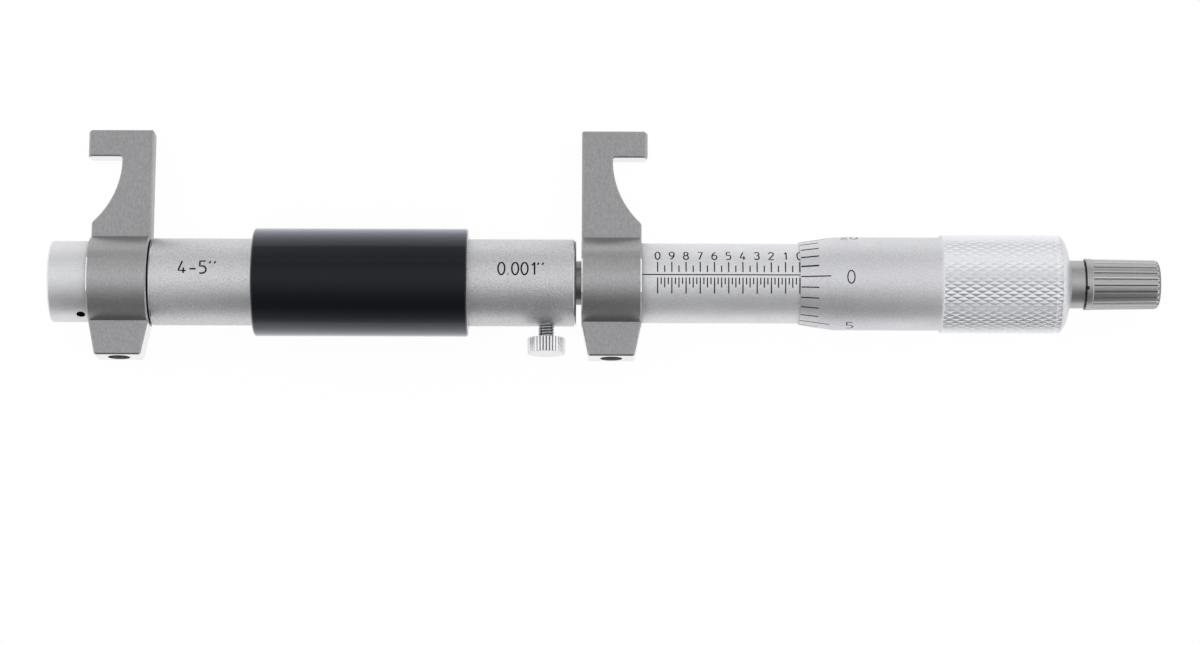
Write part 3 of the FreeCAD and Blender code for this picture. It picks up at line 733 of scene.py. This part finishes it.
@dataclass
class LockScrew:
    """The small knurled screw that clamps the guide tube."""

    station: float = 89.2
    inner: float = 5.92
    head_base: float = 10.25
    head_top: float = 13.0
    head_radius: float = 3.4
    head_edge: float = 0.06
    teeth: int = 36
    root: float = 0.93
    stem_radius: float = 1.47
    pitch: float = 0.5
    thread_depth: float = 0.27
    steps: int = 28

    def head(self) -> Mesh:
        """Knurled head, chamfered at both rims, along +z from its under face."""
        mesh = bmesh.new()
        bmesh.ops.create_circle(mesh, cap_ends=True, segments=self.teeth * 6,
                                radius=self.head_radius)
        rim = sorted(mesh.verts, key=lambda v: math.atan2(v.co.y, v.co.x))
        for index, vert in enumerate(rim):
            vert.co *= 1.0 if index % 6 < 4 else self.root
        foot = next(iter(mesh.faces))
        edge = self.head_edge
        # Inset rings, raised one after another, give the edge and the flat end.
        for inset, rise in ((0.0, self.head_top - self.head_base - 2 * edge), (edge, edge),
                            (0.45, 0.0)):
            grown = bmesh.ops.extrude_face_region(mesh, geom=[foot])
            bmesh.ops.delete(mesh, geom=[foot], context="FACES")
            foot = of_kind(grown, Face)[0]
            share = 1 - inset / max(v.co.xy.length for v in foot.verts)
            grow(mesh, (share, share, 1), foot.verts[:])
            shift(mesh, (0, 0, rise), foot.verts[:])
        lowest = [e for e in mesh.edges if e.is_boundary]
        verts = of_kind(bmesh.ops.extrude_edge_only(mesh, edges=lowest), Vert)
        grow(mesh, (0.98, 0.98, 1), verts)
        shift(mesh, (0, 0, -edge), verts)
        outward(mesh, fill=True)
        shift(mesh, (0, 0, edge))
        # The bottoms of the knurl are painted near black as shade.
        for face in mesh.faces:
            away = face.calc_center_median().xy.length
            if len(face.verts) == 4 and abs(face.normal.z) < 0.3 \
                    and away < self.head_radius * (self.root + 0.012):
                face.material_index = 2
        return mesh

    def thread(self) -> Mesh:
        """Closed stem along +z with a real helical thread, its crests painted as bright
        highlights.
        """
        length = self.head_base - self.inner + 0.3
        turns = int(length / self.pitch) + 2
        root = self.stem_radius - self.thread_depth
        start = -self.pitch
        ridge = ((0.0, root), (0.42, self.stem_radius), (0.58, self.stem_radius))
        mesh = bmesh.new()
        points = [mesh.verts.new((radius, 0, start + i * self.pitch + self.pitch * share))
                  for i in range(turns) for share, radius in ridge]
        points.append(mesh.verts.new((root, 0, start + turns * self.pitch)))
        edges = [mesh.edges.new(pair) for pair in zip(points, points[1:])]
        bmesh.ops.spin(mesh, geom=points + edges, cent=(0, 0, 0), axis=(0, 0, 1),
                       dvec=(0, 0, self.pitch / self.steps), angle=2 * math.pi,
                       steps=self.steps)
        bmesh.ops.remove_doubles(mesh, verts=mesh.verts, dist=1e-3)
        for height, side in ((0.0, -1), (length, 1)):
            whole = mesh.verts[:] + mesh.edges[:] + mesh.faces[:]
            bmesh.ops.bisect_plane(mesh, geom=whole, plane_co=(0, 0, height),
                                   plane_no=(0, 0, side), clear_outer=True)
        outward(mesh, fill=True)
        # Crest faces take the painted highlight; the rest take the grey thread steel.
        for face in mesh.faces:
            crest = face.calc_center_median().xy.length > self.stem_radius - 0.03
            face.material_index = 3 if crest else 1
        return mesh

    def build(self) -> None:
        """Build the head on its threaded stem, pointing away from the hooks."""
        head = self.head()
        shift(head, (0, 0, self.head_base))
        stem = self.thread()
        shift(stem, (0, 0, self.inner))
        whole = joined([head, stem])
        swing(whole, 90, "X")
        shift(whole, (self.station, 0, 0))
        piece("lock_screw", whole, PLATED_HEAD, Body.LOCK,
              [THREAD_STEEL, BLACK_OXIDE_AND_SHADE, PAINTED_HIGHLIGHT_CHROME], smooth=28.0)


@dataclass
class Sleeve:
    """The graduated sleeve that slides into the thimble."""

    start: float = 106.3
    end: float = 142.5
    radius: float = 7.2
    inner: float = 6.2
    key_hole: Point = (110.3, 0.8)
    zero: float = 134.52
    inch: float = 25.4
    index_deg: float = 1.0
    line: float = 0.20
    tick: float = 0.22
    # Where ticks start and end below and above the line: each fourth, second, other.
    below: tuple[float, ...] = (-0.53, 3.4, 2.3, 1.72)
    above: tuple[float, ...] = (0.50, 2.45, 1.73)
    digit_foot: float = 3.0
    digit_height: float = 1.8
    digit_stroke: float = 0.24

    def build(self) -> None:
        """Build the sleeve and engrave its scale."""
        profile = ((self.start, self.inner), (self.start, self.radius), (self.end, self.radius),
                   (self.end, self.inner))
        station, radius = self.key_hole
        tube = drilled(turned(profile, width=0.08),
                       [cross_drill(station, radius, self.inner + 0.05, 180)])
        piece("sleeve", tube, SLEEVE_CHROME, Body.CARRIAGE)
        self.graduate()

    def graduate(self) -> None:
        """Cut the index line, forty divisions of 0.025 inch and the numerals."""
        strokes: Marks = [([(self.start + 0.1, 0.0), (self.end - 2, 0.0)], self.line)]
        for count in range(41):
            x = self.zero - self.inch * count / 40
            rank = 1 if count % 4 == 0 else 2 if count % 2 == 0 else 3
            strokes.append(([(x, self.below[0]), (x, -self.below[rank])], self.tick))
            if rank < 3:
                strokes.append(([(x, self.above[0]), (x, self.above[rank])], self.tick))
            if rank == 1:
                digit = str(count // 4 % 10)
                shift_left = 0.30 if digit == "1" else 0.43
                strokes += lettered(digit, x - shift_left, self.digit_foot, self.digit_height,
                                    self.digit_stroke, widen=0.86)
        Engraving("sleeve_scale", lambda x: self.radius, self.index_deg,
                  Body.CARRIAGE).cut(strokes)


@dataclass
class Thimble:
    """The thimble with its bevelled, divided edge and its knurled band."""

    edge: float = 134.65
    bevel_end: float = 141.0
    edge_radius: float = 7.45
    radius: float = 8.4
    profile: tuple[Point, ...] = (
        (183.5, 2.1), (177.9, 2.5), (177.9, 7.6), (150.0, 7.6), (150.0, 7.26), (134.65, 7.26),
        (134.65, 7.45), (141.0, 8.4), (159.8, 8.4), (160.3, 8.8), (160.32, 8.5), (181.35, 8.5),
        (181.45, 8.82), (181.85, 8.54), (182.45, 7.66), (182.8, 6.8), (183.08, 5.8),
        (183.5, 4.34))
    band_start: float = 160.3
    band_end: float = 181.45
    band_radius: float = 8.9
    valley: float = 8.73
    end_chamfer: float = 0.12
    starts: int = 48
    rows: int = 19
    zero_deg: float = -1.7
    division: tuple[float, ...] = (0.12, 3.3, 5.4)
    stroke: float = 0.22
    digit_end: float = 9.1
    digit_drop: float = 1.33
    digit_height: float = 2.32

    def radius_at(self, x: float) -> float:
        """Radius of the plain surface at a station: it grows along the bevel."""
        share = min(1.0, max(0.0, (x - self.edge) / (self.bevel_end - self.edge)))
        return self.edge_radius + share * (self.radius - self.edge_radius)

    def build(self) -> None:
        """Build the shell, the knurl and the divisions."""
        piece("thimble", turned(self.profile, 144), THIMBLE_CHROME, Body.THIMBLE,
              smooth=40.0)
        piece("thimble_knurl", self.knurl(), KNURLED_CHROME, Body.THIMBLE,
              smooth=8.0)
        self.divide()

    def knurl(self) -> Mesh:
        """Diamond knurl: a sheet whose every second corner is a crest, rolled up.

        It is open at its two ends, which the shell closes.
        """
        around = self.starts * 2
        # One more row at each end turns the sheet down into the shell.
        rows = self.rows + 2
        tuck, overlap = 0.6, 0.02
        mesh = bmesh.new()
        bmesh.ops.create_grid(mesh, x_segments=rows, y_segments=around, size=0.5)
        valleys = []
        for vert in mesh.verts:
            row = round((vert.co.x + 0.5) * rows)
            column = round((vert.co.y + 0.5) * around)
            height = self.band_radius
            if (row + column) % 2:
                valleys.append(vert)
                height = self.valley
            if row >= rows - 1:
                height -= self.end_chamfer
            place = min(max(row - 1, 0), self.rows) / self.rows
            vert.co.x = self.band_start + (self.band_end - self.band_start) * place
            if row in (0, rows):
                height -= tuck
                vert.co.x += overlap if row else -overlap
            vert.co.z = height
        bmesh.ops.connect_verts(mesh, verts=valleys)
        for vert in mesh.verts:
            turn = 2 * math.pi * (vert.co.y + 0.5)
            radius = vert.co.z
            vert.co = (vert.co.x, radius * math.sin(turn), radius * math.cos(turn))
        bmesh.ops.remove_doubles(mesh, verts=mesh.verts, dist=1e-3)
        outward(mesh)
        return mesh

    def divide(self) -> None:
        """Cut the twenty-five divisions of 0.001 inch and their numerals."""
        strokes: Marks = []
        first, short, long = self.division
        for count in range(25):
            turn = -2 * math.pi * count / 25
            near, far = self.edge + first, self.edge + (short if count % 5 else long)
            strokes.append(([(x, turn * self.radius_at(x)) for x in (near, far)], self.stroke))
            if count % 5 == 0:
                text = str(count)
                left = self.edge + self.digit_end - (0.75 if len(text) == 1 else 1.65)
                foot = turn * self.radius - self.digit_drop
                strokes += lettered(text, left, foot, self.digit_height, self.stroke, (0.76,),
                                    0.98)
        Engraving("thimble_divisions", self.radius_at, self.zero_deg, Body.THIMBLE).cut(strokes)


@dataclass
class Ratchet:
    """The fluted knob of the ratchet stop."""

    start: float = 186.25
    end: float = 199.6
    core: tuple[Point, ...] = (
        (186.25, 3.35), (186.25, 4.65), (186.59, 4.65), (187.28, 4.65), (187.5, 4.555),
        (187.5, 4.175), (199.6, 3.625), (199.6, 2.9), (196.5, 2.9), (196.5, 1.43),
        (195.0, 1.43), (195.0, 3.35))
    nick_deg: float = -20.0
    nick_half: float = 3.8
    flutes: int = 24
    flute_depth: float = 0.26
    # Depth of the ten corners of one flute and land, as shares.
    flute_shape: tuple[float, ...] = (0.03, 0.0, 0.0, 0.0, 0.0, 0.0, 0.03, 0.1, 1.0, 0.1)
    sleeve: tuple[Point, ...] = ((187.48, 4.575), (187.75, 4.575), (198.7, 4.42),
                                 (198.94, 4.36), (199.28, 4.22), (199.45, 4.0), (199.6, 3.67))

    def build(self) -> None:
        """Build the knob of its turned core and its fluted sleeve."""
        core = turned(self.core, 96, 0.06)
        # The knob's inner end face is painted near black as shade; a small near-black patch at its
        # rim marks the nick.
        for face in core.faces:
            x, y, z = face.calc_center_median()
            away = abs(math.degrees(math.atan2(y, z)) - self.nick_deg)
            nick = x < self.start + 0.3 and away < self.nick_half
            face.material_index = int(x < self.start + 0.03 or nick)
        piece("ratchet_knob", joined([core, self.fluted()]), NICKEL_STEEL, Body.RATCHET,
              [BLACK_OXIDE_AND_SHADE, PAINTED_HIGHLIGHT_CHROME, DULL_SHADED_NICKEL])

    def fluted(self) -> Mesh:
        """Fluted sleeve of the knob, tapering a little to its rounded end.

        It is open at its two ends, which the core closes.
        """
        around = len(self.flute_shape)
        (first, outer), (run_in, _) = self.sleeve[:2]
        mesh = bmesh.new()
        bmesh.ops.create_circle(mesh, cap_ends=False, segments=self.flutes * around,
                                radius=outer)
        rim = sorted(mesh.verts, key=lambda v: math.atan2(v.co.y, v.co.x))
        for index, vert in enumerate(rim):
            vert.co *= 1 - self.flute_depth * self.flute_shape[index % around] / outer
        ring = mesh.edges[:]
        for (x, radius), (next_x, next_radius) in zip(self.sleeve, self.sleeve[1:]):
            grown = bmesh.ops.extrude_edge_only(mesh, edges=ring)
            verts = of_kind(grown, Vert)
            ring = of_kind(grown, Edge)
            shift(mesh, (0, 0, next_x - x), verts)
            share = next_radius / radius
            grow(mesh, (share, share, 1.0), verts)
        swing(mesh, 90, "Y")
        shift(mesh, (first, 0, 0))
        outward(mesh)
        # One lip of each flute is painted with a highlight; where a flute runs out, its root is
        # painted as a glint and the rest of the rounded end is painted darker as shade.
        lowest = min(mesh.verts, key=lambda v: v.co.yz.length + 9 * (v.co.x > run_in))
        zero = math.degrees(math.atan2(lowest.co.y, lowest.co.z))
        fine, pitch = 360 / self.flutes / around, 360 / self.flutes
        for face in mesh.faces:
            x, y, z = face.calc_center_median()
            turn = (math.degrees(math.atan2(y, z)) - zero) % pitch
            if x > self.sleeve[3][0]:
                in_root = turn < fine * 2 or turn > pitch - fine * 2
                face.material_index = 2 if in_root and x < self.end - 0.3 else 3
            elif fine < turn < 3 * fine:
                face.material_index = 2
        return mesh


@dataclass
class InnerWorks:
    """CAD pieces whose shape is right and that only need their finish."""

    nodes: tuple[tuple[Finish, tuple[str, ...]], ...] = (
        (BLACK_OXIDE_AND_SHADE, ("left_jaw_set_screw", "right_jaw_set_screw", "guide_key_screw")),
        (TURNED_BRONZE, ("thrust_bush", "guide_bush", "lock_pad")),
        (HARDENED_STEEL, ("thrust_screw", "inner_sleeve", "adjusting_nut", "spindle",
                          "click_ring")),
        (POLISHED_STEEL, ("guide_tube",)),
        (NICKEL_STEEL, ("ratchet_base", "ratchet_screw")),
        (SPRING_WIRE, ("ratchet_spring",)))

    def build(self) -> None:
        """Dress each node."""
        for finish, names in self.nodes:
            for name in names:
                data = frame["nodes"][name].data
                data.materials.clear()
                data.materials.append(finish.material())
                LOG.info("%s: %s", name, finish.name)


@dataclass
class Studio:
    """White table, soft light and the camera above the instrument."""

    lens_mm: float = 105.0
    sensor_mm: float = 36.0
    distance: float = 632.0
    lean_deg: float = 5.6
    aim_station: float = 98.85
    aim_below: float = 7.11
    image_roll_deg: float = 0.17
    # The table's grey, its glow to the camera and to metal, and the glow's share.
    paper: float = 0.88
    glow: Point = (1.03, 1.0)
    glow_share: float = 0.93
    # Sky level by its angle from straight up, in degrees toward the hooks.
    sky: tuple[Point, ...] = ((-90, 0.38), (-80, 0.28), (-48, 0.16), (-31, 0.28), (-20, 0.42),
                              (-10, 0.59), (0, 0.76), (11, 0.93), (22, 0.98), (32, 0.87),
                              (43, 0.72), (60, 0.54), (78, 0.41), (90, 0.40))
    # The windows past both ends: their level, and where each fades in along x.
    window: float = 1.2
    window_fades: tuple[Point, ...] = ((-0.55, -0.8), (0.5, 0.8))
    lamp_watts: float = 0.3
    lamp_size: Point = (1.2, 0.5)
    lamp_place: tuple[float, float, float] = (0.0, 0.85, 0.42)

    def build(self) -> None:
        """Set the table, the lights and the camera."""
        self.table()
        self.light()
        self.camera()

    def table(self) -> None:
        """Lay a plain white table that keeps the shadow."""
        mesh = bmesh.new()
        bmesh.ops.create_grid(mesh, x_segments=4, y_segments=4, size=3.0)
        data = stored("table", mesh)
        paper = bpy.data.materials.new("white_paper")
        paper.use_nodes = True
        tree = paper.node_tree
        add = partial(add_node, tree)
        place = add("TexCoord")
        tooth = add("TexNoise", {"Scale": 900.0, "Detail": 2.0}, {"Vector": (place, "Object")})
        bump = add("Bump", {"Strength": 0.2, "Distance": 0.00003}, {"Height": (tooth, "Fac")})
        shader = set_up(tree, tree.nodes["Principled BSDF"],
                        {"Base Color": (self.paper, self.paper, self.paper, 1.0),
                         "Roughness": 0.8, "Specular IOR Level": 0.1},
                        {"Normal": (bump, "Normal")})
        path = add("LightPath")
        bright = add("MapRange", {"To Min": self.glow[0], "To Max": self.glow[1]},
                     {"Value": (path, "Is Glossy Ray")})
        glow = add("Emission", {"Color": (1, 1, 1, 1)}, {"Strength": (bright, "Result")})
        seen = add("Math", {"operation": "MAXIMUM"},
                   {0: (path, "Is Camera Ray"), 1: (path, "Is Glossy Ray")})
        share = add("Math", {"operation": "MULTIPLY", 1: self.glow_share}, {0: (seen, "Value")})
        mixed = add("MixShader", {},
                    {0: (share, "Value"), 1: (shader, "BSDF"), 2: (glow, "Emission")})
        set_up(tree, tree.nodes["Material Output"], links={"Surface": (mixed, "Shader")})
        data.materials.append(paper)
        linked("table", data)

    def light(self) -> None:
        """Plain soft sky: a bright ceiling behind the hooks, darker on the near side."""
        world = bpy.data.worlds.new("studio")
        bpy.context.scene.world = world
        world.use_nodes = True
        tree = world.node_tree
        add = partial(add_node, tree)
        place = add("TexCoord")
        split = add("SeparateXYZ", {}, {0: (place, "Generated")})
        lean = add("Math", {"operation": "ARCTAN2"}, {0: (split, "Y"), 1: (split, "Z")})
        share = add("MapRange", {"From Min": -math.pi / 2, "From Max": math.pi / 2},
                    {"Value": (lean, "Value")})
        ramp = add("ValToRGB", {}, {"Fac": (share, "Result")})
        stops = ramp.color_ramp.elements
        while len(stops) < len(self.sky):
            stops.new(0.5)
        for stop, (degrees, level) in zip(stops, self.sky):
            stop.position = (degrees + 90) / 180
            stop.color = (level, level, level * 1.01, 1)
        # The two bright windows light the instrument's end chamfers.
        fades = [add("MapRange", {"interpolation_type": "SMOOTHSTEP", "From Min": none,
                                  "From Max": full}, {"Value": (split, "X")})
                 for none, full in self.window_fades]
        ends = add("Math", {"operation": "MAXIMUM"},
                   {i: (fade, "Result") for i, fade in enumerate(fades)})
        window = (self.window, self.window, self.window, 1)
        lit = add("Mix", {"data_type": "RGBA", 7: window},
                  {"Factor": (ends, "Value"), 6: (ramp, "Color")})
        path = add("LightPath")
        seen = add("Mix", {"data_type": "RGBA", 7: (1, 1, 1, 1)},
                   {"Factor": (path, "Is Camera Ray"), 6: (lit, 2)})
        set_up(tree, tree.nodes["Background"], {"Strength": 1.0}, {"Color": (seen, 2)})
        lamp = bpy.data.lights.new("far_box", "AREA")
        lamp.shape = "RECTANGLE"
        lamp.size, lamp.size_y = self.lamp_size
        lamp.energy = self.lamp_watts
        holder = linked("far_box", lamp)
        holder.location = self.lamp_place
        holder.rotation_euler = (-holder.location).to_track_quat("-Z", "Y").to_euler()

    def camera(self) -> None:
        """Stand the camera over the instrument, at the photograph's angle."""
        lean = Matrix.Rotation(-math.radians(self.lean_deg), 4, "X")
        roll = Matrix.Rotation(math.radians(self.image_roll_deg), 4, "Z")
        up, back = lean.col[1].xyz, lean.col[2].xyz
        aim = Vector((BENCH.start_x + self.aim_station * MM, BENCH.axis_y, BENCH.axis_z))
        eye = aim + (back * self.distance - up * self.aim_below) * MM
        data = bpy.data.cameras.new("camera")
        data.lens = self.lens_mm
        data.sensor_width = self.sensor_mm
        data.sensor_fit = "HORIZONTAL"
        data.clip_start = 0.01
        holder = linked("camera", data)
        holder.matrix_world = Matrix.Translation(eye) @ lean @ roll
        bpy.context.scene.camera = holder


def main() -> None:
    """Build every sub-assembly."""
    logging.basicConfig(level=logging.INFO, format="%(name)s: %(message)s")
    bpy.context.scene.view_settings.view_transform = "Standard"
    for part in (BodyTube(), JawPair(), LockScrew(), Sleeve(), Thimble(), Ratchet(),
                 InnerWorks(), Studio()):
        part.build()


if __name__ == "__main__":
    main()
